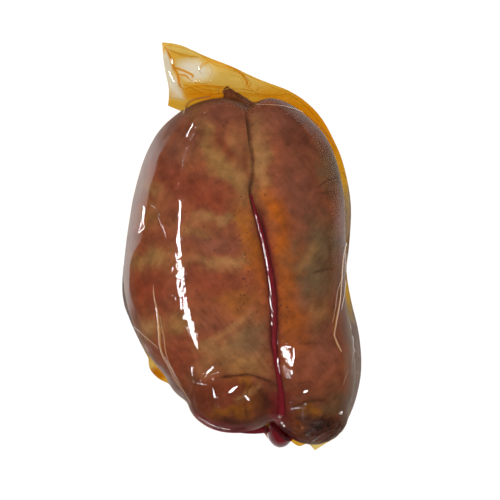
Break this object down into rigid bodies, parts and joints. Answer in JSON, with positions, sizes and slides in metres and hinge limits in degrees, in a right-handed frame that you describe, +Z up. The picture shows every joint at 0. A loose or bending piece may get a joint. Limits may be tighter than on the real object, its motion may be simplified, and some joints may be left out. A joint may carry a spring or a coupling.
{
  "type": "vacuum-packed nduja",
  "caption": "Whole soft sausage of two lobes lying in a tight amber shrink bag, with red juice in the crease, a folded tail at the head and small corners at the foot.",
  "frame": {"origin": "on the floor under the middle of the whole pack's box", "axes": "+Z up from the side it lies on to the side shown, +Y to the head with the bag's tail, +X to the smaller lobe"},
  "size_m": [0.1596, 0.269, 0.078],
  "materials": {
    "casing": "moist natural casing over chilli-red pork paste, brown red with olive and orange bands",
    "juice": "dark crimson meat juice under film",
    "film": "amber-tinted glossy shrink film"
  },
  "bodies": {
    "root": {"nduja": "casing", "juice": "juice", "bag": "film"}
  },
  "joints": []
}
